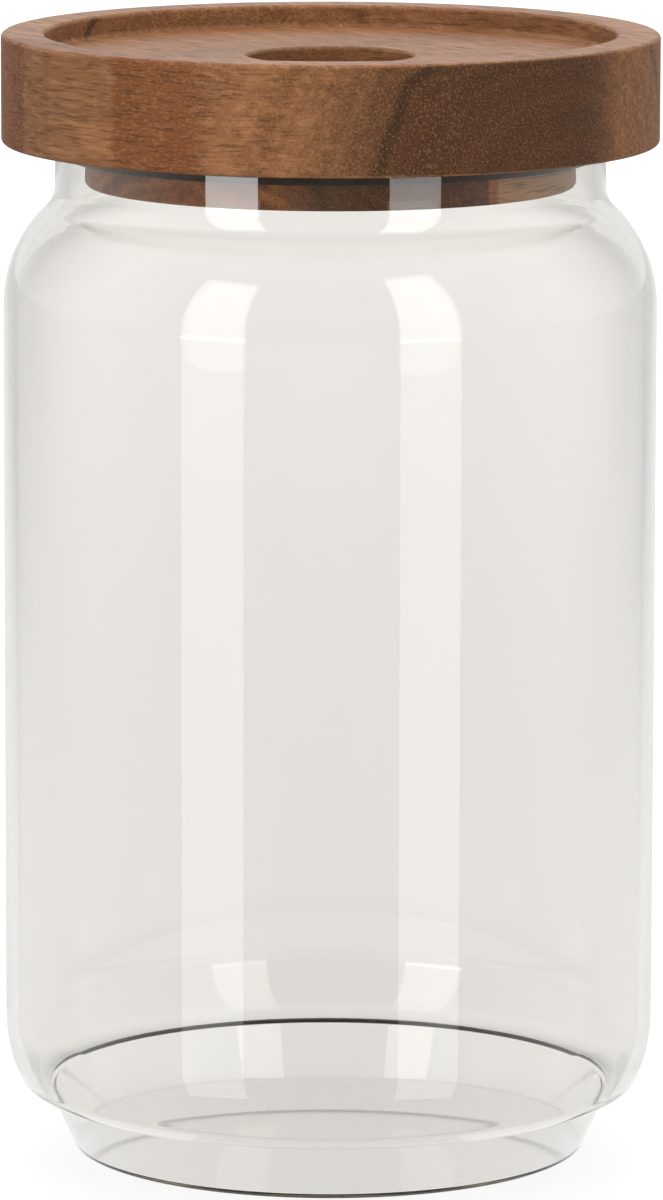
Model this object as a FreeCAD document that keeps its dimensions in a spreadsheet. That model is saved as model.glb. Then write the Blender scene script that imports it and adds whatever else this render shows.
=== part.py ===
import FreeCAD, Part
import math
import os
import Sketcher

# A stackable food canister: a blown glass jar with a turned acacia lid and a silicone seal.
# Everything is turned about +Z. The origin is the middle of the jar's base, at the surface it stands on.
# Every size is in millimetres, and a radius of rounding ends in _round.
SIZES = {
    # Glass jar, from the base up
    "body_diameter": 99.6,
    "glass_wall": 1.9,
    "jar_height": 155.2,
    "foot_height": 8.8,
    "foot_inset": 4.1,
    "foot_edge_round": 0.8,
    "standing_width": 4.2,
    "push_up": 1.0,
    "push_up_run": 4.0,
    "base_thickness": 2.6,
    "floor_round": 1.2,
    "crease_round": 0.35,
    "heel_shelf": 0.5,
    "heel_height": 11.8,
    "heel_corner_round": 4.6,
    "heel_side_round": 23.4,
    "shoulder_step": 7.9,
    "shoulder_round": 20.2,
    "neck_round": 4.6,
    "neck_length": 6.4,
    "rim_round": 0.8,
    # Upper disc of the lid, with the dish that takes the foot of another jar
    "lid_gap": 0.2,
    "lid_overhang": 8.1,
    "flange_thickness": 16.6,
    "stack_clearance": 4.2,
    "recess_depth": 3.4,
    "recess_round": 0.8,
    "finger_hole_diameter": 25.2,
    "lid_edge_round": 0.7,
    # Lower disc of the lid, which stands in the neck and holds the seal
    "plug_clearance": 2.6,
    "plug_depth": 6.3,
    "plug_edge_round": 0.7,
    "groove_depth": 1.3,
    "groove_height": 2.3,
    # Seal ring in the groove
    "seal_clearance": 0.1,
    "seal_round": 0.5,
}

doc = FreeCAD.newDocument("food_canister")
sheet = doc.addObject("Spreadsheet::Sheet", "sizes")
for row, (alias, value) in enumerate(SIZES.items(), start=1):
    sheet.set("A%d" % row, alias)
    sheet.set("B%d" % row, str(value))
    sheet.setAlias("B%d" % row, alias)
doc.recompute()

# Expressions for the sizes that several pieces share
NECK_RADIUS = "sizes.body_diameter / 2 - sizes.shoulder_step"
BORE_RADIUS = NECK_RADIUS + " - sizes.glass_wall"
PLUG_RADIUS = BORE_RADIUS + " - sizes.plug_clearance"
GROOVE_RADIUS = PLUG_RADIUS + " - sizes.groove_depth"
LID_RADIUS = NECK_RADIUS + " + sizes.lid_overhang"
STANDING_RADIUS = "jar_outside.Constraints.standing_radius / 1 mm"
RECESS_RADIUS = STANDING_RADIUS + " + sizes.stack_clearance"
LID_UNDERSIDE = "sizes.jar_height + sizes.lid_gap"
PLACE_HEIGHT = ".Placement.Base.z"

START, END = 1, 2
ORIGIN = (-1, 1)
NEAR = 1e-4
UNDER_HALF = 0.45


def new_body(label):
    """A body for one piece of the canister, named as the piece is."""
    body = doc.addObject("PartDesign::Body", label)
    body.Label = label
    return body


def upright_sketch(body, name):
    """A sketch in the body's own XZ plane: across is the radius, up is the height."""
    sketch = body.newObject("Sketcher::SketchObject", name)
    plane = [item for item in body.Origin.OriginFeatures if item.Role == "XZ_Plane"][0]
    sketch.AttachmentSupport = [(plane, "")]
    sketch.MapMode = "FlatFace"
    return sketch


def point(across, up):
    return FreeCAD.Vector(across, up, 0)


def line(sketch, first, second):
    return sketch.addGeometry(Part.LineSegment(point(*first), point(*second)), False)


def arc(sketch, centre, radius, from_angle, to_angle):
    """An arc that runs anticlockwise, with its angles in radians."""
    circle = Part.Circle(point(*centre), FreeCAD.Vector(0, 0, 1), radius)
    return sketch.addGeometry(Part.ArcOfCircle(circle, from_angle, to_angle), False)


def tie(sketch, kind, *places):
    return sketch.addConstraint(Sketcher.Constraint(kind, *places))


def measure(sketch, name, expression, kind, *places):
    """A named dimension of a sketch that follows an expression."""
    index = tie(sketch, kind, *places)
    sketch.renameConstraint(index, name)
    sketch.setExpression("Constraints." + name, expression)


def turned(body, name, kind, sketch):
    """A full turn of a sketch about the body's upright axis, added or cut away."""
    feature = body.newObject("PartDesign::" + kind, name)
    feature.Profile = sketch
    feature.ReferenceAxis = (sketch, ["V_Axis"])
    feature.Angle = 360.0
    doc.recompute()
    return feature


def ring_edges(feature, rings):
    """Names of a feature's circular edges, found by radius and height."""
    names = []
    for index, edge in enumerate(feature.Shape.Edges, start=1):
        if not isinstance(edge.Curve, Part.Circle):
            continue
        for radius, height in rings:
            same_radius = abs(edge.Curve.Radius - radius) < NEAR
            same_height = abs(edge.Curve.Center.z - height) < NEAR
            if same_radius and same_height and abs(edge.Curve.Axis.z) > 0.5:
                names.append("Edge%d" % index)
    if len(names) != len(rings):
        raise RuntimeError("%s: %d of %d rings found" % (feature.Name, len(names), len(rings)))
    return names


def rounded(body, name, feature, size, rings, wall=None):
    """Round a feature's circular edges to a size of the sheet, or to just under half of a thin wall."""
    fillet = body.newObject("PartDesign::Fillet", name)
    fillet.Base = (feature, ring_edges(feature, rings))
    if wall:
        fillet.setExpression("Radius", "min(sizes.%s; %s * (%s))" % (size, UNDER_HALF, wall))
    else:
        fillet.setExpression("Radius", "sizes." + size)
    doc.recompute()
    return fillet


def straight_section(body, name, corners):
    """A closed section of straight lines, each corner an expression for its radius and its height."""
    sketch = upright_sketch(body, name)
    count = len(corners)
    turns = [2 * math.pi * index / count for index in range(count)]
    ring = [(2 + math.cos(turn), 2 + math.sin(turn)) for turn in turns]
    for index in range(count):
        line(sketch, ring[index], ring[(index + 1) % count])
    for index, (radius, height) in enumerate(corners):
        tie(sketch, "Coincident", index, START, (index - 1) % count, END)
        measure(sketch, "radius_%d" % index, radius, "DistanceX", *ORIGIN, index, START, ring[index][0])
        measure(sketch, "height_%d" % index, height, "DistanceY", *ORIGIN, index, START, ring[index][1])
    doc.recompute()
    return sketch


def corners_of(sketch):
    """Radius and height of the point where each line or arc of a sketch starts."""
    return [(item.StartPoint.x, item.StartPoint.y) for item in sketch.Geometry]


# Glass jar
# The outside is one chain of lines and arcs. The first guess of each point is worked out here,
# and the sketch's own ties then hold it to the sizes.
def jar_outside(body):
    sketch = upright_sketch(body, "jar_outside")
    wall_radius = SIZES["body_diameter"] / 2
    corner, side = SIZES["heel_corner_round"], SIZES["heel_side_round"]
    heel_lean = math.asin((SIZES["heel_height"] - corner) / (side - corner))
    shelf_end = wall_radius - side * (1 - math.cos(heel_lean)) - corner * math.cos(heel_lean)
    crease = shelf_end - SIZES["heel_shelf"]
    standing = crease - SIZES["foot_inset"]
    foot = SIZES["foot_height"]
    wall_start = foot + SIZES["heel_height"]
    shoulder, neck = SIZES["shoulder_round"], SIZES["neck_round"]
    lean = math.acos(1 - SIZES["shoulder_step"] / (shoulder + neck))
    neck_radius = wall_radius - SIZES["shoulder_step"]
    top = SIZES["jar_height"]
    neck_start = top - SIZES["neck_length"]
    wall_end = neck_start - (shoulder + neck) * math.sin(lean)

    base = line(sketch, (0, 0), (standing, 0))
    taper = line(sketch, (standing, 0), (crease, foot))
    shelf = line(sketch, (crease, foot), (shelf_end, foot))
    heel_corner = arc(sketch, (shelf_end, foot + corner), corner, -math.pi / 2, -heel_lean)
    heel_side = arc(sketch, (wall_radius - side, wall_start), side, -heel_lean, 0)
    wall = line(sketch, (wall_radius, wall_start), (wall_radius, wall_end))
    bulge = arc(sketch, (wall_radius - shoulder, wall_end), shoulder, 0, lean)
    hollow = arc(sketch, (neck_radius + neck, neck_start), neck, math.pi, math.pi + lean)
    collar = line(sketch, (neck_radius, neck_start), (neck_radius, top))
    mouth = line(sketch, (neck_radius, top), (0, top))
    middle = line(sketch, (0, top), (0, 0))

    tie(sketch, "Coincident", base, START, *ORIGIN)
    for first, second in ((base, taper), (taper, shelf), (collar, mouth), (mouth, middle), (middle, base)):
        tie(sketch, "Coincident", first, END, second, START)
    for first, second in ((shelf, heel_corner), (heel_corner, heel_side), (heel_side, wall), (wall, bulge)):
        tie(sketch, "Tangent", first, END, second, START)
    tie(sketch, "Tangent", bulge, END, hollow, END)
    tie(sketch, "Tangent", hollow, START, collar, START)
    for level in (base, shelf, mouth):
        tie(sketch, "Horizontal", level)
    for upright in (wall, collar, middle):
        tie(sketch, "Vertical", upright)

    measure(sketch, "foot_height", "sizes.foot_height", "DistanceY", taper, START, taper, END, foot)
    inset = crease - standing
    measure(sketch, "foot_inset", "sizes.foot_inset", "DistanceX", taper, START, taper, END, inset)
    measure(sketch, "shelf", "sizes.heel_shelf", "DistanceX", shelf, START, shelf, END, shelf_end - crease)
    measure(sketch, "heel_corner", "sizes.heel_corner_round", "Radius", heel_corner, corner)
    measure(sketch, "heel_side", "sizes.heel_side_round", "Radius", heel_side, side)
    measure(sketch, "heel", "sizes.heel_height", "DistanceY", shelf, END, wall, START, SIZES["heel_height"])
    measure(sketch, "body", "sizes.body_diameter / 2", "DistanceX", *ORIGIN, wall, START, wall_radius)
    measure(sketch, "shoulder", "sizes.shoulder_round", "Radius", bulge, shoulder)
    measure(sketch, "neck_hollow", "sizes.neck_round", "Radius", hollow, neck)
    measure(sketch, "neck_radius", NECK_RADIUS, "DistanceX", *ORIGIN, collar, START, neck_radius)
    measure(sketch, "neck", "sizes.neck_length", "DistanceY", collar, START, collar, END, top - neck_start)
    measure(sketch, "height", "sizes.jar_height", "DistanceY", *ORIGIN, collar, END, top)
    reading = tie(sketch, "DistanceX", *ORIGIN, base, END, standing)
    sketch.setDriving(reading, False)
    sketch.renameConstraint(reading, "standing_radius")
    doc.recompute()
    corners = corners_of(sketch)
    return sketch, corners[taper], corners[shelf], corners[mouth]


def glass_jar():
    body = new_body("glass_jar")
    outline, standing_edge, crease, rim = jar_outside(body)
    solid = turned(body, "jar_solid", "Revolution", outline)
    creased = rounded(body, "crease", solid, "crease_round", [crease])

    # The wall is what is left when the inside is hollowed from the mouth down
    mouth = ["Face%d" % index for index, face in enumerate(creased.Shape.Faces, start=1)
             if face.BoundBox.ZMin > rim[1] - NEAR]
    hollow = body.newObject("PartDesign::Thickness", "wall")
    hollow.Base = (creased, mouth)
    hollow.setExpression("Value", "sizes.glass_wall")
    hollow.Reversed = True
    hollow.Join = "Intersection"
    doc.recompute()

    # The base is thicker than the wall, and pushed up inside the ring that it stands on.
    # Its edge is buried in the middle of the foot's tapered wall.
    floor = "(sizes.push_up + sizes.base_thickness)"
    buried_edge = STANDING_RADIUS + " - sizes.glass_wall / 2"
    floor_section = straight_section(body, "floor_section", [
        ("0", "0"),
        (buried_edge, "0"),
        (buried_edge + " + %s * sizes.foot_inset / sizes.foot_height" % floor, floor),
        ("0", floor),
    ])
    base = turned(body, "base", "Revolution", floor_section)
    ring_inside = STANDING_RADIUS + " - sizes.standing_width"
    push_up_section = straight_section(body, "push_up_section", [
        ("0", "0"),
        (ring_inside, "0"),
        (ring_inside + " - sizes.push_up_run", "sizes.push_up"),
        ("0", "sizes.push_up"),
    ])
    pushed = turned(body, "push_up_cut", "Groove", push_up_section)
    footed = rounded(body, "foot_edge", pushed, "foot_edge_round", [standing_edge])

    # The inside corner of the floor, where the tapered foot stands one wall in from its outside
    taper = SIZES["foot_inset"] / SIZES["foot_height"]
    floor_height = corners_of(floor_section)[2][1]
    wall_across = SIZES["glass_wall"] * math.hypot(1, taper)
    floor_edge = standing_edge[0] + floor_height * taper - wall_across
    floored = rounded(body, "floor_corner", footed, "floor_round", [(floor_edge, floor_height)])
    bore = (rim[0] - SIZES["glass_wall"], rim[1])
    rounded(body, "rim", floored, "rim_round", [rim, bore], "sizes.glass_wall")
    return body


# Upper disc of the lid: the finger hole runs right through it, and the lower disc closes the hole
def lid_top():
    body = new_body("lid_top")
    hole = "sizes.finger_hole_diameter / 2"
    dish_floor = "sizes.flange_thickness - sizes.recess_depth"
    section = straight_section(body, "lid_top_section", [
        (hole, "0"),
        (LID_RADIUS, "0"),
        (LID_RADIUS, "sizes.flange_thickness"),
        (RECESS_RADIUS, "sizes.flange_thickness"),
        (RECESS_RADIUS, dish_floor),
        (hole, dish_floor),
    ])
    disc = turned(body, "lid_top_disc", "Revolution", section)
    corners = corners_of(section)
    dished = rounded(body, "dish_corner", disc, "recess_round", [corners[4]])
    rounded(body, "lid_edges", dished, "lid_edge_round", corners[1:4] + corners[5:])
    body.setExpression(PLACE_HEIGHT, LID_UNDERSIDE)
    return body


# Lower disc of the lid: its upper edge is turned down to leave a groove under the flange
def lid_plug():
    body = new_body("lid_plug")
    groove_floor = "sizes.plug_depth - sizes.groove_height"
    section = straight_section(body, "lid_plug_section", [
        ("0", "0"),
        (PLUG_RADIUS, "0"),
        (PLUG_RADIUS, groove_floor),
        (GROOVE_RADIUS, groove_floor),
        (GROOVE_RADIUS, "sizes.plug_depth"),
        ("0", "sizes.plug_depth"),
    ])
    disc = turned(body, "lid_plug_disc", "Revolution", section)
    rounded(body, "plug_edge", disc, "plug_edge_round", corners_of(section)[1:2])
    body.setExpression(PLACE_HEIGHT, LID_UNDERSIDE + " - sizes.plug_depth")
    return body


# Seal ring: it lies in the groove and reaches out to the bore of the neck
def lid_seal():
    body = new_body("lid_seal")
    inside = GROOVE_RADIUS + " + sizes.seal_clearance"
    outside = BORE_RADIUS + " - sizes.seal_clearance"
    thickness = "sizes.groove_height - 2 * sizes.seal_clearance"
    section = straight_section(body, "lid_seal_section", [
        (inside, "0"),
        (outside, "0"),
        (outside, thickness),
        (inside, thickness),
    ])
    ring = turned(body, "lid_seal_ring", "Revolution", section)
    rounded(body, "seal_edges", ring, "seal_round", corners_of(section)[1:3], thickness)
    body.setExpression(PLACE_HEIGHT, LID_UNDERSIDE + " - sizes.groove_height + sizes.seal_clearance")
    return body


pieces = [glass_jar(), lid_top(), lid_plug(), lid_seal()]
doc.recompute()

for item in doc.Objects:
    if "Invalid" in item.State or "Error" in item.State:
        raise RuntimeError("%s: %s" % (item.Name, item.State))
for piece in pieces:
    if piece.Shape.isNull() or not piece.Shape.isValid():
        raise RuntimeError("%s: no valid solid" % piece.Label)

os.makedirs("parts", exist_ok=True)
for piece in pieces:
    piece.Shape.exportStep("parts/%s.step" % piece.Label)
    box = piece.Shape.optimalBoundingBox()
    print("%-10s %7.2f cm3, z %.2f to %.2f, %.2f across" % (
        piece.Label, piece.Shape.Volume / 1000, box.ZMin, box.ZMax, box.XLength))
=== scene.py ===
# %% [markdown]
# # A glass food canister with a turned acacia lid
# The canister is a blown glass jar, closed by a dished wooden lid that lifts off with its seal ring.
# The measured parts come packed from CAD and stay fixed, as a frame to build around.
# In this lesson each part gets a smooth skin with a real finish, and then the light and the camera of
# a small product studio.

# %% Load the frame
import math

import bpy
from mathutils import Matrix, Vector


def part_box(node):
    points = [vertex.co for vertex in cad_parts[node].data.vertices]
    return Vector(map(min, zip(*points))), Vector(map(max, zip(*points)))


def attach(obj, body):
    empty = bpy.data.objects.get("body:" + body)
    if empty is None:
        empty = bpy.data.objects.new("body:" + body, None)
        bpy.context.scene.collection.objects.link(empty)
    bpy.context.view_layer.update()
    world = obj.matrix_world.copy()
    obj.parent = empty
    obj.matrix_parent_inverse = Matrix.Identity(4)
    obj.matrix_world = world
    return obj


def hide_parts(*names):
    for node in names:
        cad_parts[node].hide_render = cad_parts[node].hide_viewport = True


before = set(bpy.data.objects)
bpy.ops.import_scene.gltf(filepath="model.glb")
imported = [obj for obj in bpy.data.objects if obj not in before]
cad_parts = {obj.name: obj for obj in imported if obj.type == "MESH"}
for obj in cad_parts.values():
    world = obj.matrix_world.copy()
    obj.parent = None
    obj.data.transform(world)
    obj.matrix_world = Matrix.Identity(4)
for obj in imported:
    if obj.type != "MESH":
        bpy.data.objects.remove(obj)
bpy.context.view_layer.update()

# %% [markdown]
# ## The camera
# The camera comes first, because everything else is compared through it. It stands about 1.2 m in
# front of the jar, a little above the lid, and looks down by under 10 degrees. So far away with a
# long lens, upright lines stay upright and the round lid shows as a thin ellipse.

# %% Place the camera
CAMERA_BACK = 1.2273
CAMERA_HEIGHT = 0.2918
LOOK_DOWN = math.radians(9.578)
TURN = math.radians(-0.014)
ROLL = math.radians(0.13)
LENS_MM = 243.5
SENSOR_MM = 36.0

bpy.ops.object.select_all(action="DESELECT")
bpy.ops.object.camera_add()
camera = bpy.context.object
camera.name = "studio_camera"
camera.data.sensor_width = SENSOR_MM
camera.data.lens = LENS_MM
camera.matrix_world = (
    Matrix.Translation((0, -CAMERA_BACK, CAMERA_HEIGHT))
    @ Matrix.Rotation(TURN, 4, "Z")
    @ Matrix.Rotation(math.pi / 2 - LOOK_DOWN, 4, "X")
    @ Matrix.Rotation(ROLL, 4, "Z")
)
bpy.context.scene.camera = camera
print("camera at", [round(c, 3) for c in camera.matrix_world.translation])

# %% [markdown]
# ## A lathe made of two tools
# Every part of this canister was shaped by turning: the glass in a mould, the wood on a lathe. A
# circle could be extruded and scaled ring by ring, but a profile is nearer to how a turner thinks.
# So one vertex is walked along the section, extruded for a straight stretch and spun for a round one,
# and then the whole section is spun about the upright axis.

# %% Draw a section and turn it
MM = 0.001
TURN_STEPS = 240
ARC_STEP = math.radians(5)
LEAST_ARC_STEPS = 12
MERGE_WITHIN = 1e-7
SMOOTH_BELOW = math.radians(40)
ACROSS = (0, 1, 0)
UPRIGHT = (0, 0, 1)


def turned_piece(name, start, steps):
    """Turn a section about the axis. Places are radius and height in mm; an arc also has degrees."""
    bpy.ops.object.select_all(action="DESELECT")
    bpy.ops.mesh.primitive_plane_add(size=MM)
    piece = bpy.context.object
    piece.name = piece.data.name = name
    bpy.ops.object.mode_set(mode="EDIT")
    bpy.ops.mesh.merge(type="CENTER")
    here = Vector(start)
    bpy.ops.transform.translate(value=(here.x * MM, 0, here.y * MM))
    for place, degrees in steps:
        place = Vector(place)
        if degrees is None:
            move = (place - here) * MM
            bpy.ops.mesh.extrude_vertices_move(TRANSFORM_OT_translate={"value": (move.x, 0, move.y)})
            here = place
        else:
            angle = math.radians(degrees)
            count = max(LEAST_ARC_STEPS, round(abs(angle) / ARC_STEP))
            centre = (place.x * MM, 0, place.y * MM)
            bpy.ops.mesh.spin(steps=count, angle=angle, center=centre, axis=ACROSS)
            here = place + Matrix.Rotation(angle, 2) @ (here - place)
    bpy.ops.mesh.select_all(action="SELECT")
    bpy.ops.mesh.spin(steps=TURN_STEPS, angle=2 * math.pi, center=(0, 0, 0), axis=UPRIGHT)
    bpy.ops.mesh.select_all(action="SELECT")
    bpy.ops.mesh.remove_doubles(threshold=MERGE_WITHIN)
    bpy.ops.mesh.normals_make_consistent(inside=False)
    bpy.ops.object.mode_set(mode="OBJECT")
    bpy.ops.object.shade_smooth_by_angle(angle=SMOOTH_BELOW)
    size = [round(c / MM, 2) for c in piece.dimensions]
    print(name, "has", len(piece.data.polygons), "faces,", size, "mm")
    return piece


def line(radius, height):
    """One straight stretch of a section, up to a place."""
    return ((radius, height), None)


def arc(radius, height, degrees):
    """One round stretch of a section about a centre, anticlockwise where degrees are positive."""
    return ((radius, height), degrees)


# %% [markdown]
# ## The glass jar
# The jar is one piece of blown glass with an even wall of nearly 2 mm and a fire-polished rim. Glass
# shows both of its faces, so the section runs up the outside, over the rim and down the inside. The
# wall could come from a Solidify modifier instead, but blown glass thins where it stretches into a
# corner, so the heel, the foot and the base have their own thickness and shape.

# %% Sizes of the glass
_, jar_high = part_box("glass_jar")
BODY_RADIUS = jar_high.x / MM
JAR_TOP = jar_high.z / MM
WALL = 1.9
FOOT_HEIGHT, FOOT_INSET, FOOT_EDGE = 8.8, 4.1, 0.8
STANDING_WIDTH = 4.2
PUSH_UP = 1.0
BASE_THICKNESS, FOOT_WALL, HEEL_WALL = 0.8, 0.7, 0.75
FLOOR_ROUND, HEEL_INNER = 0.4, 2.6
CREASE_ROUND = 0.35
HEEL_SHELF, HEEL_HEIGHT = 0.5, 11.8
HEEL_CORNER, HEEL_SIDE = 4.6, 23.4
SHOULDER_STEP, SHOULDER_ROUND, NECK_ROUND, NECK_LENGTH = 7.9, 20.2, 4.6, 6.4
RIM_ROUND = 0.8

heel_lean = math.asin((HEEL_HEIGHT - HEEL_CORNER) / (HEEL_SIDE - HEEL_CORNER))
shoulder_lean = math.acos(1 - SHOULDER_STEP / (SHOULDER_ROUND + NECK_ROUND))
corner_centre = BODY_RADIUS - HEEL_SIDE + (HEEL_SIDE - HEEL_CORNER) * math.cos(heel_lean)
crease_radius = corner_centre - HEEL_SHELF
standing_radius = crease_radius - FOOT_INSET
neck_radius = BODY_RADIUS - SHOULDER_STEP
neck_start = JAR_TOP - NECK_LENGTH
wall_end = neck_start - (SHOULDER_ROUND + NECK_ROUND) * math.sin(shoulder_lean)
wall_start = FOOT_HEIGHT + HEEL_HEIGHT
print("standing ring", round(standing_radius, 2), "mm, neck", round(neck_radius, 2), "mm in radius")

# %% [markdown]
# ### Corners of the glass
# Two arcs that meet smoothly share a tangent, so their centres and angles follow from the sizes above
# by a little trigonometry. Guessed corners would leave creases, and glass shows a crease as a line.

# %% Corners of the glass
foot_lean = math.atan2(FOOT_INSET, FOOT_HEIGHT)
edge_turn = math.pi / 2 - foot_lean
edge_reach = FOOT_EDGE * math.tan(edge_turn / 2)
crease_reach = CREASE_ROUND * math.tan(edge_turn / 2)
crease_centre = Vector((crease_radius + crease_reach, FOOT_HEIGHT - CREASE_ROUND))
foot_side = Vector((-math.cos(foot_lean), math.sin(foot_lean)))
foot_top = crease_centre + (CREASE_ROUND + HEEL_WALL) * foot_side
inner_foot = standing_radius - FOOT_WALL / math.cos(foot_lean)
floor_edge = Vector((inner_foot + BASE_THICKNESS * math.tan(foot_lean), BASE_THICKNESS))
inner_lean = math.atan2(foot_top.x - floor_edge.x, foot_top.y - floor_edge.y)
corner_reach = FLOOR_ROUND * math.tan((math.pi / 2 - inner_lean) / 2)
corner_start = floor_edge + corner_reach * Vector((math.sin(inner_lean), math.cos(inner_lean)))
floor_radius = floor_edge.x - corner_reach
dome_radius = standing_radius - STANDING_WIDTH
side_centre = Vector((BODY_RADIUS - HEEL_SIDE, FOOT_HEIGHT + HEEL_HEIGHT))
heel_drop = HEEL_HEIGHT - HEEL_WALL - HEEL_INNER
inner_heel = math.asin(heel_drop / (HEEL_SIDE - WALL - HEEL_INNER))
heel_aim = Vector((math.cos(inner_heel), -math.sin(inner_heel)))
heel_centre = side_centre + (HEEL_SIDE - WALL - HEEL_INNER) * heel_aim
dome_sphere = (dome_radius ** 2 + PUSH_UP ** 2) / (2 * PUSH_UP)
dome_turn = math.degrees(math.asin(dome_radius / dome_sphere))
print("inner heel at", round(heel_centre.x, 2), "mm, floor round ends at", round(floor_radius, 2), "mm")

# %% Turn the glass jar
glass_steps = [
    arc(0, PUSH_UP - dome_sphere, -dome_turn),
    line(standing_radius - edge_reach, 0),
    arc(standing_radius - edge_reach, FOOT_EDGE, math.degrees(edge_turn)),
    line(*(crease_centre + CREASE_ROUND * foot_side)),
    arc(*crease_centre, -math.degrees(edge_turn)),
    line(corner_centre, FOOT_HEIGHT),
    arc(corner_centre, FOOT_HEIGHT + HEEL_CORNER, 90 - math.degrees(heel_lean)),
    arc(BODY_RADIUS - HEEL_SIDE, wall_start, math.degrees(heel_lean)),
    line(BODY_RADIUS, wall_end),
    arc(BODY_RADIUS - SHOULDER_ROUND, wall_end, math.degrees(shoulder_lean)),
    arc(neck_radius + NECK_ROUND, neck_start, -math.degrees(shoulder_lean)),
    line(neck_radius, JAR_TOP - RIM_ROUND),
    arc(neck_radius - RIM_ROUND, JAR_TOP - RIM_ROUND, 90),
    line(neck_radius - WALL + RIM_ROUND, JAR_TOP),
    arc(neck_radius - WALL + RIM_ROUND, JAR_TOP - RIM_ROUND, 90),
    line(neck_radius - WALL, neck_start),
    arc(neck_radius + NECK_ROUND, neck_start, math.degrees(shoulder_lean)),
    arc(BODY_RADIUS - SHOULDER_ROUND, wall_end, -math.degrees(shoulder_lean)),
    line(BODY_RADIUS - WALL, wall_start),
    arc(*side_centre, -math.degrees(inner_heel)),
    arc(*heel_centre, math.degrees(inner_heel) - 90),
    line(crease_centre.x, FOOT_HEIGHT + HEEL_WALL),
    arc(*crease_centre, math.degrees(edge_turn)),
    line(*corner_start),
    arc(floor_radius, BASE_THICKNESS + FLOOR_ROUND, math.degrees(inner_lean) - 90),
    line(dome_radius, BASE_THICKNESS),
    arc(0, BASE_THICKNESS + PUSH_UP - dome_sphere, dome_turn),
]
glass = turned_piece("jar_glass", (0, PUSH_UP), glass_steps)

# %% [markdown]
# ## The lid
# The lid is two turned discs of acacia glued face to face. The upper one overhangs the neck and is
# dished, so that the foot of another jar can stand in it, and a finger hole runs through it. The
# lower one closes that hole, stands inside the neck and leaves a groove for the seal. All their
# edges are eased by sanding, which is what catches the light along them.

# %% Turn the upper disc
top_low, top_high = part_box("lid_top")
LID_RADIUS = top_high.x / MM
LID_BOTTOM, LID_TOP = top_low.z / MM, top_high.z / MM
DISH_SPARE, DISH_DEPTH = 4.2, 3.4
DISH_RADIUS = standing_radius + DISH_SPARE
DISH_FLOOR = LID_TOP - DISH_DEPTH
DISH_ROUND = 0.8
HOLE_RADIUS = 12.6
LID_EDGE = 0.7

lid_steps = [
    line(LID_RADIUS - LID_EDGE, LID_BOTTOM),
    arc(LID_RADIUS - LID_EDGE, LID_BOTTOM + LID_EDGE, 90),
    line(LID_RADIUS, LID_TOP - LID_EDGE),
    arc(LID_RADIUS - LID_EDGE, LID_TOP - LID_EDGE, 90),
    line(DISH_RADIUS + LID_EDGE, LID_TOP),
    arc(DISH_RADIUS + LID_EDGE, LID_TOP - LID_EDGE, 90),
    line(DISH_RADIUS, DISH_FLOOR + DISH_ROUND),
    arc(DISH_RADIUS - DISH_ROUND, DISH_FLOOR + DISH_ROUND, -90),
    line(HOLE_RADIUS + LID_EDGE, DISH_FLOOR),
    arc(HOLE_RADIUS + LID_EDGE, DISH_FLOOR - LID_EDGE, 90),
    line(HOLE_RADIUS, LID_BOTTOM),
]
lid_disc = turned_piece("lid_disc", (HOLE_RADIUS, LID_BOTTOM), lid_steps)

# %% Turn the lower disc and the seal
plug_low, plug_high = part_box("lid_plug")
PLUG_RADIUS = plug_high.x / MM
PLUG_BOTTOM, PLUG_TOP = plug_low.z / MM, plug_high.z / MM
PLUG_EDGE = 0.7
GROOVE_DEPTH, GROOVE_HEIGHT = 1.3, 2.3

plug_steps = [
    line(PLUG_RADIUS - PLUG_EDGE, PLUG_BOTTOM),
    arc(PLUG_RADIUS - PLUG_EDGE, PLUG_BOTTOM + PLUG_EDGE, 90),
    line(PLUG_RADIUS, PLUG_TOP - GROOVE_HEIGHT),
    line(PLUG_RADIUS - GROOVE_DEPTH, PLUG_TOP - GROOVE_HEIGHT),
    line(PLUG_RADIUS - GROOVE_DEPTH, PLUG_TOP),
    line(0, PLUG_TOP),
]
plug_disc = turned_piece("plug_disc", (0, PLUG_BOTTOM), plug_steps)

seal_low, seal_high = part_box("lid_seal")
SEAL_RADIUS = seal_high.x / MM
SEAL_BOTTOM, SEAL_TOP = seal_low.z / MM, seal_high.z / MM
SEAL_ROUND, SEAL_GAP = 0.5, 0.1
SEAL_INSIDE = PLUG_RADIUS - GROOVE_DEPTH + SEAL_GAP

seal_steps = [
    line(SEAL_RADIUS - SEAL_ROUND, SEAL_BOTTOM),
    arc(SEAL_RADIUS - SEAL_ROUND, SEAL_BOTTOM + SEAL_ROUND, 90),
    line(SEAL_RADIUS, SEAL_TOP - SEAL_ROUND),
    arc(SEAL_RADIUS - SEAL_ROUND, SEAL_TOP - SEAL_ROUND, 90),
    line(SEAL_INSIDE, SEAL_TOP),
    line(SEAL_INSIDE, SEAL_BOTTOM),
]
seal_ring = turned_piece("seal_ring", (SEAL_INSIDE, SEAL_BOTTOM), seal_steps)

# %% [markdown]
# ## Nodes and colours
# Colours are picked as they look on a screen, as hex values, and shaders work in linear light, so one
# function turns one into the other. One more adds a node, sets it up and links it.

# %% Helpers for materials
def linear(hex_colour):
    """Linear RGBA of an sRGB colour such as #8C5D3D."""
    shares = [int(hex_colour[i:i + 2], 16) / 255 for i in (1, 3, 5)]
    return [c / 12.92 if c <= 0.04045 else ((c + 0.055) / 1.055) ** 2.4 for c in shares] + [1.0]


def add(tree, kind, inputs=(), **settings):
    """Add a node; inputs are pairs of a socket and a value or another node's output."""
    made = tree.nodes.new(kind)
    for name, value in settings.items():
        setattr(made, name, value)
    for socket, value in inputs:
        if isinstance(value, bpy.types.NodeSocket):
            tree.links.new(value, made.inputs[socket])
        else:
            made.inputs[socket].default_value = value
    return made


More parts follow.
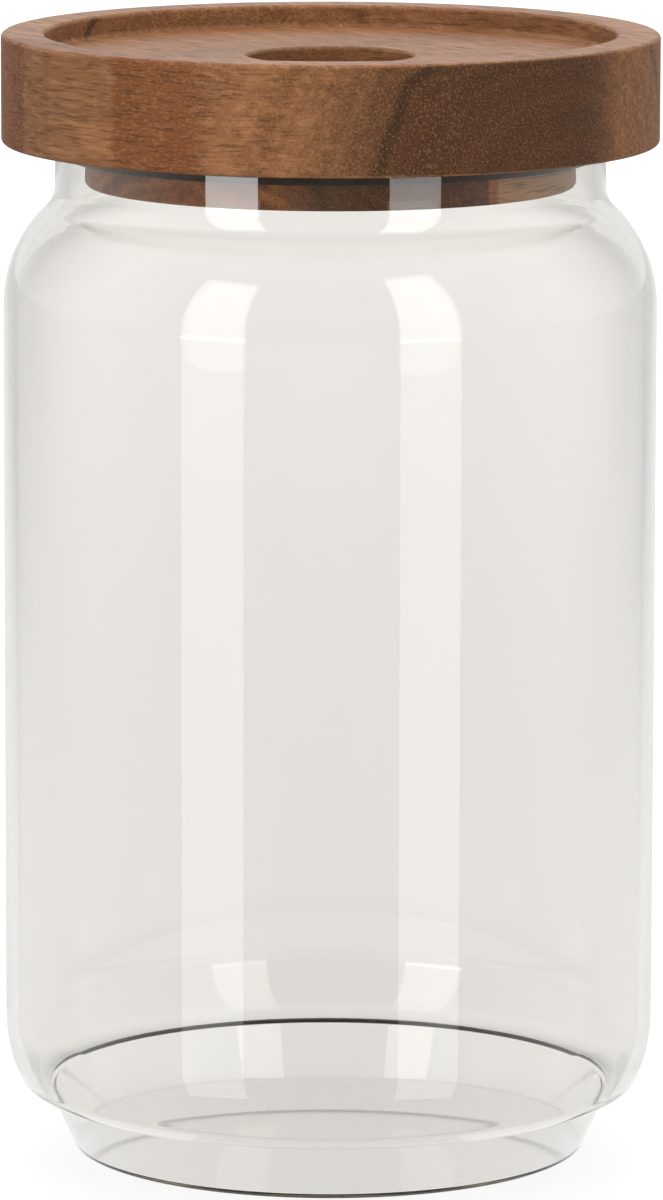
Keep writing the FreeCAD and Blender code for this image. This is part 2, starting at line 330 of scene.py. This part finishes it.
def new_material(name):
    """A material with an empty tree but for its shader and output."""
    material = bpy.data.materials.new(name)
    material.use_nodes = True
    tree = material.node_tree
    tree.nodes.clear()
    shader = add(tree, "ShaderNodeBsdfPrincipled")
    add(tree, "ShaderNodeOutputMaterial", [("Surface", shader.outputs["BSDF"])])
    return material, tree, shader


print("#8C5D3D in linear light:", [round(c, 3) for c in linear("#8C5D3D")[:3]])

# %% [markdown]
# ## Blown borosilicate glass
# Borosilicate glass is colourless but for a trace of warm grey where a lot of it is looked through.
# Its IOR is 1.47. The surface is a plain transmitting shader, and the grey comes from a volume that
# absorbs a little, so that it gathers at the edges as in real glass. A tint on the surface alone would
# be the same everywhere. For shadow rays the glass is simply clear, because light through a lens is
# slow to find and would leave the wood behind it dark.

# %% Glass material
GLASS_DENSITY = 60.0


def blown_glass():
    """Clear blown glass: bright highlights, dark edges and a trace of warm grey in its depth."""
    material, tree, shader = new_material("blown_borosilicate_glass")
    shader.inputs["Base Color"].default_value = linear("#F3F2F1")
    shader.inputs["Transmission Weight"].default_value = 1.0
    shader.inputs["Roughness"].default_value = 0.0
    shader.inputs["IOR"].default_value = 1.47
    ray = add(tree, "ShaderNodeLightPath")
    clear = add(tree, "ShaderNodeBsdfTransparent", [("Color", linear("#F2F0EE"))])
    surface = add(tree, "ShaderNodeMixShader", [
        (0, ray.outputs["Is Shadow Ray"]), (1, shader.outputs["BSDF"]), (2, clear.outputs["BSDF"])])
    depth = add(tree, "ShaderNodeVolumeAbsorption", [
        ("Color", linear("#D1CBB4")), ("Density", GLASS_DENSITY)])
    output = tree.nodes["Material Output"]
    tree.links.new(surface.outputs["Shader"], output.inputs["Surface"])
    tree.links.new(depth.outputs["Volume"], output.inputs["Volume"])
    print("glass with IOR", round(shader.inputs["IOR"].default_value, 2), "and density", GLASS_DENSITY)
    return material


# %% [markdown]
# ## Oiled acacia
# Acacia is a hard brown wood with bold, uneven growth rings, a fine speckle of pores and streaks that
# follow the fibre. Turning cuts the same block along the fibre on one side and across it on another, so
# the disc shows long grain on the left and end grain on the right. A picture wrapped round the rim
# would break at its edges. A solid texture, which gives every point inside the block a colour,
# runs on over every edge as real wood does.

# %% Directions in the wood
END_GRAIN_START, END_GRAIN_FULL = 0.62, 0.92


def wood_space(tree, fibre_degrees):
    """Millimetres along the fibre, across it and up, and how squarely the surface cuts the fibre."""
    turn = math.radians(90 - fibre_degrees)
    place = add(tree, "ShaderNodeTexCoord")
    wood = add(tree, "ShaderNodeMapping", [
        ("Vector", place.outputs["Object"]), ("Rotation", (0, 0, turn)), ("Scale", [1 / MM] * 3)])
    fibre = (math.cos(turn), -math.sin(turn), 0)
    facing = add(tree, "ShaderNodeVectorMath", [
        (0, place.outputs["Normal"]), (1, fibre)], operation="DOT_PRODUCT")
    square = add(tree, "ShaderNodeMath", [(0, facing.outputs["Value"])], operation="ABSOLUTE")
    end_grain = add(tree, "ShaderNodeMapRange", [
        ("Value", square.outputs["Value"]), ("From Min", END_GRAIN_START), ("From Max", END_GRAIN_FULL)],
        interpolation_type="SMOOTHSTEP")
    return wood.outputs["Vector"], end_grain.outputs["Result"]


# %% [markdown]
# ### Growth rings
# Rings are cylinders round the pith, the middle of the log. Their distance from it is swayed by a slow
# noise, and a noise of that one number makes wide and narrow rings at random. One late-summer ring is
# much darker than the rest, and the heartwood lies inside it.

# %% Rings round the pith
SWAY_SIZE, SWAY_STRETCH, SWAY = 16, 5, 1.6
RING_WIDTH = 3.4
BOLD_CORE, BOLD_EDGE = 0.25, 1.5
RIM_START, RIM_FULL = 14.0, 2.0
HEART_START, HEART_FULL = 0.5, -2.5


def growth_rings(tree, wood, pith, bold_ring):
    """Uneven rings, the bold ring, the dim wood just outside it and the heartwood inside it, 0 to 1."""
    from_pith = add(tree, "ShaderNodeVectorMath", [
        (0, wood), (1, (0, *pith))], operation="SUBTRACT")
    flat = add(tree, "ShaderNodeVectorMath", [
        (0, from_pith.outputs[0]), (1, (0, 1, 1))], operation="MULTIPLY")
    distance = add(tree, "ShaderNodeVectorMath", [(0, flat.outputs[0])], operation="LENGTH")
    slow = add(tree, "ShaderNodeMapping", [("Vector", wood), ("Scale", (1 / SWAY_STRETCH, 1, 1))])
    noise = add(tree, "ShaderNodeTexNoise", [
        ("Vector", slow.outputs[0]), ("Scale", 1 / SWAY_SIZE), ("Detail", 3.0)])
    sway = add(tree, "ShaderNodeMapRange", [
        ("Value", noise.outputs["Fac"]), ("From Min", 0.3), ("From Max", 0.7),
        ("To Min", -SWAY), ("To Max", SWAY)])
    ring = add(tree, "ShaderNodeMath", [
        (0, distance.outputs["Value"]), (1, sway.outputs[0])], operation="ADD")
    uneven = add(tree, "ShaderNodeTexNoise", [
        ("W", ring.outputs[0]), ("Scale", 1 / RING_WIDTH), ("Detail", 3.0)], noise_dimensions="1D")
    off = add(tree, "ShaderNodeMath", [(0, ring.outputs[0]), (1, bold_ring)], operation="SUBTRACT")
    gap = add(tree, "ShaderNodeMath", [(0, off.outputs[0])], operation="ABSOLUTE")
    bold = add(tree, "ShaderNodeMapRange", [
        ("Value", gap.outputs[0]), ("From Min", BOLD_CORE), ("From Max", BOLD_EDGE),
        ("To Min", 1.0), ("To Max", 0.0)], interpolation_type="SMOOTHSTEP")
    rim = add(tree, "ShaderNodeMapRange", [
        ("Value", off.outputs[0]), ("From Min", RIM_START), ("From Max", RIM_FULL)])
    heart = add(tree, "ShaderNodeMapRange", [
        ("Value", off.outputs[0]), ("From Min", HEART_START), ("From Max", HEART_FULL)],
        interpolation_type="SMOOTHSTEP")
    return uneven.outputs["Fac"], bold.outputs["Result"], rim.outputs["Result"], heart.outputs["Result"]


# %% [markdown]
# ### Streaks and pores
# Streaks are a coarse noise stretched along the fibre, and pores are a fine one. Pores that are cut
# across are dots. Along the fibre they are dashes, and the fibre of acacia weaves a little, so on an
# upright side the dashes are long both ways and thin only in height. Real pores are about 0.2 mm wide,
# which the render would lose, so they are drawn at about 0.3 mm.

# %% Streaks and pores along the fibre
PORE_STRENGTH = 0.5


def streaks(tree, wood, sizes, low, high, seed):
    """A noise with sizes in mm along the fibre, across it and up, from 0 at low to 1 at high."""
    scale = [1 / size for size in sizes]
    stretch = add(tree, "ShaderNodeMapping", [
        ("Vector", wood), ("Location", (seed, seed, 0)), ("Scale", scale)])
    noise = add(tree, "ShaderNodeTexNoise", [
        ("Vector", stretch.outputs[0]), ("Scale", 1.0), ("Detail", 1.0)])
    cut = add(tree, "ShaderNodeMapRange", [
        ("Value", noise.outputs["Fac"]), ("From Min", low), ("From Max", high)])
    return cut.outputs["Result"]


def pore_shares(tree, end_grain):
    """How strongly dots and dashes show: dashes on upright long grain, dots on the rest."""
    place = add(tree, "ShaderNodeTexCoord")
    lies = add(tree, "ShaderNodeSeparateXYZ", [("Vector", place.outputs["Normal"])])
    flat = add(tree, "ShaderNodeMath", [(0, lies.outputs["Z"])], operation="ABSOLUTE")
    cut = add(tree, "ShaderNodeMath", [(0, flat.outputs[0]), (1, end_grain)], operation="MAXIMUM")
    dots = add(tree, "ShaderNodeMath", [(0, cut.outputs[0]), (1, PORE_STRENGTH)], operation="MULTIPLY")
    dashes = add(tree, "ShaderNodeMapRange", [
        ("Value", cut.outputs[0]), ("To Min", PORE_STRENGTH), ("To Max", 0.0)])
    return dots.outputs[0], dashes.outputs["Result"]


# %% [markdown]
# ### A slab of another tone
# Lids like this are cut from boards that are glued up side by side. One board of another tone shows as a
# patch with a sharp glue line on one side, and it fades into its neighbour on the other. The lid's
# second
# slab is no board but painted shade: it darkens the far left of the disc against the left lamps' light.

# %% Slab between two distances across or along the fibre
GLUE_AND_SHADE_EDGE = 0.25


def slab_and_painted_shade(tree, across, sharp, faded):
    """1 inside a board of another tone, and also inside the lid's band of painted shade; it starts
    sharply and fades out over its last third.
    """
    glued = sharp + math.copysign(GLUE_AND_SHADE_EDGE, faded - sharp)
    start = add(tree, "ShaderNodeMapRange", [
        ("Value", across), ("From Min", sharp), ("From Max", glued)])
    end = add(tree, "ShaderNodeMapRange", [
        ("Value", across), ("From Min", faded), ("From Max", faded - (faded - sharp) / 3)],
        interpolation_type="SMOOTHSTEP")
    both = add(tree, "ShaderNodeMath", [
        (0, start.outputs[0]), (1, end.outputs[0])], operation="MULTIPLY")
    return both.outputs[0]


# %% [markdown]
# ### Where the oil soaks in
# End grain drinks oil and darkens. Here one end of the board has taken up most of it, on the side where
# its heartwood lies, so the dark heart shows there and not on the wall of the finger hole.

# %% Soaked end of the board
SOAK_START, SOAK_FULL = 14, 24
SIDE_START, SIDE_FULL = 8, -4


def soaked_end(tree, spot, end_grain, heart_side):
    """1 on the end grain at one end of the board, on the heart's side of it."""
    beside = add(tree, "ShaderNodeMapRange", [
        ("Value", spot.outputs["Y"]),
        ("From Min", heart_side + SIDE_START), ("From Max", heart_side + SIDE_FULL)],
        interpolation_type="SMOOTHSTEP")
    board_end = add(tree, "ShaderNodeMapRange", [
        ("Value", spot.outputs["X"]), ("From Min", SOAK_START), ("From Max", SOAK_FULL)])
    oiled = add(tree, "ShaderNodeMath", [
        (0, board_end.outputs[0]), (1, end_grain)], operation="MULTIPLY")
    soaked = add(tree, "ShaderNodeMath", [
        (0, beside.outputs[0]), (1, oiled.outputs[0])], operation="MULTIPLY")
    return soaked.outputs[0]


# %% [markdown]
# ### A satin finish
# Oil leaves a satin surface. It is smoother on the sanded flats than on the turned sides, and duller in
# the pores, which also dent it. Varnish would be one even gloss instead.

# %% Satin finish
SIDE_ROUGHNESS, TOP_ROUGHNESS, PORE_ROUGHNESS = 0.72, 0.4, 0.15
DENT = 0.04 * MM


def satin(tree, shader, pores, sheen):
    """Roughness by the way a surface lies, and small dents at the pores."""
    shader.inputs["Specular IOR Level"].default_value = sheen
    place = add(tree, "ShaderNodeTexCoord")
    lies = add(tree, "ShaderNodeSeparateXYZ", [("Vector", place.outputs["Normal"])])
    polish = add(tree, "ShaderNodeMapRange", [
        ("Value", lies.outputs["Z"]), ("To Min", SIDE_ROUGHNESS), ("To Max", TOP_ROUGHNESS)])
    dull = add(tree, "ShaderNodeMath", [
        (0, pores), (1, PORE_ROUGHNESS), (2, polish.outputs[0])], operation="MULTIPLY_ADD")
    tree.links.new(dull.outputs[0], shader.inputs["Roughness"])
    dents = add(tree, "ShaderNodeBump", [
        ("Height", pores), ("Strength", 0.5), ("Distance", DENT)], invert=True)
    tree.links.new(dents.outputs["Normal"], shader.inputs["Normal"])


# %% [markdown]
# ### The wood itself
# Each layer is laid over the one before, as a painter would: growth rings, streaks, slabs of another
# tone and one band of painted shade, the soaked heartwood with its rings, the bold ring, and the pores
# last, with pale flecks among them that are painted glints. A list of layers keeps that order easy to
# read and to change.

# %% Wood material
OUTER_HEART, HEARTWOOD, DARK_RING = "#482C18", "#432714", "#2C1A0C"
DARK_PORE, PALE_GLINT_FLECK = "#341D10", "#A57E55"


def acacia(name, fibre_degrees, pith, bold_ring, heart_side, tones, slabs, sheen):
    """Turned and oiled acacia: a brown, silky wood with dark rings, fine dashes and dots, and pale
    painted glints.
    """
    material, tree, shader = new_material(name)
    wood, end_grain = wood_space(tree, fibre_degrees)
    uneven, bold, rim, heart = growth_rings(tree, wood, pith, bold_ring)
    spot = add(tree, "ShaderNodeSeparateXYZ", [("Vector", wood)])
    ringed = add(tree, "ShaderNodeMapRange", [
        ("Value", uneven), ("From Min", 0.35), ("From Max", 0.68)])
    soaked = soaked_end(tree, spot, end_grain, heart_side)
    outer, inner, arcs = [
        add(tree, "ShaderNodeMath", [(0, soaked), (1, share)], operation="MULTIPLY").outputs[0]
        for share in (0.8, 0.85, 0.4)]
    shown = add(tree, "ShaderNodeMapRange", [
        ("Value", end_grain), ("To Min", 0.1), ("To Max", 0.75)])
    dots, dashes = pore_shares(tree, end_grain)
    dark_pores = streaks(tree, wood, (6.0, 0.34, 0.34), 0.53, 0.64, 21)

    # Each layer has a place from 0 to 1, a strength and a colour.
    layers = [
        (ringed.outputs[0], 1.0, tones[1]),
        (streaks(tree, wood, (30, 2.6, 2.6), 0.45, 0.7, 3), 0.5, tones[2]),
        (streaks(tree, wood, (14, 1.1, 1.1), 0.5, 0.72, 8), 0.45, tones[3]),
        *((slab_and_painted_shade(tree, spot.outputs[side], sharp, faded), strength, tone)
          for side, sharp, faded, strength, tone in slabs),
        (rim, outer, OUTER_HEART),
        (heart, inner, HEARTWOOD),
        (ringed.outputs[0], arcs, DARK_RING),
        (bold, shown.outputs[0], DARK_RING),
        (streaks(tree, wood, (4.5, 2.6, 0.34), 0.53, 0.66, 34), dashes, DARK_PORE),
        (dark_pores, dots, DARK_PORE),
        # Painted glints: pale flecks where pores catch the light, drawn into the colour all over the
        # wood.
        (streaks(tree, wood, (4.5, 0.3, 0.3), 0.54, 0.66, 55), 0.2, PALE_GLINT_FLECK),
    ]
    colour = linear(tones[0])
    for place, strength, hex_colour in layers:
        cover = add(tree, "ShaderNodeMath", [(0, place), (1, strength)], operation="MULTIPLY")
        mix = add(tree, "ShaderNodeMix", [
            ("Factor", cover.outputs[0]), (6, colour), (7, linear(hex_colour))], data_type="RGBA")
        colour = mix.outputs[2]
    tree.links.new(colour, shader.inputs["Base Color"])
    satin(tree, shader, dark_pores, sheen)
    print(name, "has", len(layers), "layers of colour")
    return material


# %% Two blocks of wood
lid_wood = acacia(
    "oiled_acacia_lid", fibre_degrees=36.87, pith=(6, 147.2), bold_ring=32.5, heart_side=13,
    tones=("#7D5334", "#6F482B", "#643F25", "#966A45"),
    # The lid's second slab is painted shade: a dark band on the far left of the disc.
    slabs=[("Y", -48.8, -42, 0.75, "#643617"), ("X", -3, -22, 0.25, "#4A2F1C")], sheen=0.25)
# The plug's tones are lighter than the lid's: partly its own wood, partly painted light that makes up
# for the light the flange and the glass keep from it.
plug_wood = acacia(
    "oiled_acacia_plug", fibre_degrees=-25, pith=(-8, 128), bold_ring=6.0, heart_side=26,
    tones=("#9A6139", "#80502D", "#5C3820", "#A8713F"),
    slabs=[("Y", 33.5, 6, 0.8, "#42291A"), ("Y", 34, 44, 0.75, "#B48A60")], sheen=0.1)

# %% [markdown]
# ## Moulded silicone
# The seal is a ring of translucent silicone, matt from its mould. Squeezed between dark wood and glass
# in the shadow under the lid's overhang, it lets little light back out and reads as a dark band; that
# shade is painted into it as a dark brown colour. A clear glass shader would sparkle there, so only a
# tenth of it is transmission and the rest is a dull brown body of painted shade.

# %% Silicone material
def silicone():
    """Translucent silicone in painted shade: a soft dark brown for the shadow under the lid, with a dull
    sheen.
    """
    material, tree, shader = new_material("translucent_silicone_painted_shade")
    # Painted shade: this dark brown stands for the shadow in the groove under the lid, not the
    # silicone's own colour.
    shader.inputs["Base Color"].default_value = linear("#2A1A0F")
    shader.inputs["Transmission Weight"].default_value = 0.1
    shader.inputs["Specular IOR Level"].default_value = 0.1
    shader.inputs["Roughness"].default_value = 0.6
    shader.inputs["IOR"].default_value = 1.41
    print("silicone with IOR", round(shader.inputs["IOR"].default_value, 2))
    return material


# %% [markdown]
# ## Dress the pieces
# Each turned piece now gets its finish, rides on the body that moves it and stands in for its CAD
# part. The seal rides on a body of its own, because it lifts with the lid and stays still while the
# lid turns. The two discs of wood move as one.

# %% Dress the pieces
DRESSED = [
    (glass, blown_glass(), "jar", "glass_jar", "clear_glass"),
    (lid_disc, lid_wood, "lid", "lid_top", "acacia"),
    (plug_disc, plug_wood, "lid", "lid_plug", "acacia"),
    (seal_ring, silicone(), "seal", "lid_seal", "clear_silicone"),
]
for piece, material, body, node_name, slot in DRESSED:
    piece.data.materials.append(material)
    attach(piece, body)
    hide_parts(node_name)
    print(piece.name, "rides on", body, "for", node_name)

# %% [markdown]
# ## The studio floor
# Clear glass shows whatever is behind it, so the floor does most of the work. Here it stands for a sheet
# of opal acrylic lit from below, as on a product table, but no lamp is under it: the glow is painted
# light, the floor's own emission, a plain pale surface with no shadow. The painted glow is a little
# brighter further back, dimmer in front, and falls off to both sides. Glass bends the view outwards near
# its edges, so the dimmer sides are what draws a thin dark line round the jar.

# %% Studio floor
FLOOR_SIZE = 12.0
FLOOR_DROP = 0.0003
bpy.ops.object.select_all(action="DESELECT")
bpy.ops.mesh.primitive_plane_add(size=FLOOR_SIZE, location=(0, 0, -FLOOR_DROP))
floor = bpy.context.object
floor.name = "studio_floor"
floor.visible_glossy = False
print("floor of", FLOOR_SIZE, "m")

# %% Floor material
# Painted light: the floor glows by its own emission, standing for opal acrylic lit from below, an even,
# shadowless white that fades smoothly.
material, tree, shader = new_material("opal_acrylic_painted_glow")
shader.inputs["Base Color"].default_value = linear("#505050")
shader.inputs["Roughness"].default_value = 0.6
place = add(tree, "ShaderNodeTexCoord")
spot = add(tree, "ShaderNodeSeparateXYZ", [("Vector", place.outputs["Object"])])
sideways = add(tree, "ShaderNodeMath", [(0, spot.outputs["X"])], operation="ABSOLUTE")
# The ramps paint light and shade into the glow: dim in front, dimmer under and just behind the jar as
# painted shade, brightest far back, and falling off to both sides.
# Each ramp has a place, where it starts and ends in metres, and the glow at its start and end.
GLOW_RAMPS = [
    (spot.outputs["Y"], -0.4, -0.06, 0.4, 1.0),
    (spot.outputs["Y"], 0.1, 1.0, 0.84, 1.02),
    (sideways.outputs[0], 0.12, 0.4, 1.0, 0.5),
]
glow = 1.0
for place, start, end, first, last in GLOW_RAMPS:
    ramp = add(tree, "ShaderNodeMapRange", [
        ("Value", place), ("From Min", start), ("From Max", end), ("To Min", first), ("To Max", last)])
    product = add(tree, "ShaderNodeMath", [(0, glow), (1, ramp.outputs[0])], operation="MULTIPLY")
    glow = product.outputs[0]
shader.inputs["Emission Color"].default_value = linear("#FFFFFF")
tree.links.new(glow, shader.inputs["Emission Strength"])
floor.data.materials.append(material)
print(material.name, "with", len(GLOW_RAMPS), "ramps")

# %% [markdown]
# ## The lights
# Two upright strip softboxes left and right of the camera leave the two long highlights on the glass.
# Each is a stack of three, because the straight wall, the neck and the round shoulder mirror different
# heights, and the neck needs more light. A broad fill in front and one overhead light the wood. Those
# two stay out of the reflections, or they would put more highlights on the glass.

# %% Area lamps
def area_lamp(name, place, turn, width, height, radiance):
    """A rectangle of light. Its power follows from its size and from how bright its face should be."""
    bpy.ops.object.select_all(action="DESELECT")
    bpy.ops.object.light_add(type="AREA", location=place)
    lamp = bpy.context.object
    lamp.name = name
    lamp.data.shape = "RECTANGLE"
    lamp.data.size = width
    lamp.data.size_y = height
    lamp.data.energy = radiance * math.pi * width * height
    lamp.rotation_euler = turn
    lamp.visible_camera = False
    print(name, "gives", round(lamp.data.energy, 1), "W")
    return lamp


# %% Strip softboxes
STRIP_BACK = 1.2
STRIP_FOOT, LOW_TOP, HIGH_BOTTOM = -0.6, 0.043, 0.079
LOW_RADIANCE, HIGH_RADIANCE = 2.1, 2.6
# Each strip has a side, degrees round from the camera, a width, a top and its middle box's radiance.
STRIPS = [
    ("left", -40.8, 0.48, 1.2, 9.0),
    ("right", 34.8, 0.46, 1.5, 4.6),
]
for side, azimuth, width, strip_top, middle_radiance in STRIPS:
    turn = math.radians(azimuth)
    for part, bottom, top, radiance in (
            ("_high_softbox", HIGH_BOTTOM, strip_top, HIGH_RADIANCE),
            ("_softbox", LOW_TOP, HIGH_BOTTOM, middle_radiance),
            ("_low_softbox", STRIP_FOOT, LOW_TOP, LOW_RADIANCE)):
        place = (math.sin(turn) * STRIP_BACK, -math.cos(turn) * STRIP_BACK, (bottom + top) / 2)
        area_lamp(side + part, place, (math.pi / 2, 0, turn), width, top - bottom, radiance)

# %% Fill and overhead light
# Each lamp has a name, a place, a tilt in degrees, a size and a radiance.
FILLS = [
    ("front_fill", (-0.25, -1.5, 0.30), (85, 0, -9.5), 0.6, 13.0),
    ("overhead_softbox", (0, 0.2, 1.4), (0, 0, 0), 1.0, 6.1),
]
for name, place, tilt, size, radiance in FILLS:
    turn = [math.radians(angle) for angle in tilt]
    lamp = area_lamp(name, place, turn, size, size, radiance)
    lamp.visible_glossy = False
    lamp.visible_transmission = False

# %% [markdown]
# ## The room
# The room is white behind the jar and dim on the camera's side, where a studio keeps its black cloth.
# That keeps the front of the glass clear. A picture of a real room could be used instead, but it would
# leave windows and furniture on the glass.

# %% Room
DARK_FROM, WHITE_FROM = -0.9, 0.0
CLOTH, WHITE = 0.05, 1.0
world = bpy.data.worlds.new("studio_room")
bpy.context.scene.world = world
world.use_nodes = True
tree = world.node_tree
tree.nodes.clear()
direction = add(tree, "ShaderNodeTexCoord")
parts = add(tree, "ShaderNodeSeparateXYZ", [("Vector", direction.outputs["Generated"])])
depth = add(tree, "ShaderNodeMapRange", [
    ("Value", parts.outputs["Y"]), ("From Min", DARK_FROM), ("From Max", WHITE_FROM),
    ("To Min", CLOTH), ("To Max", WHITE)])
background = add(tree, "ShaderNodeBackground", [
    ("Color", linear("#FFFFFF")), ("Strength", depth.outputs["Result"])])
add(tree, "ShaderNodeOutputWorld", [("Surface", background.outputs["Background"])])
bpy.context.scene.view_settings.view_transform = "Standard"
print("room", world.name, "with", len(tree.nodes), "nodes")
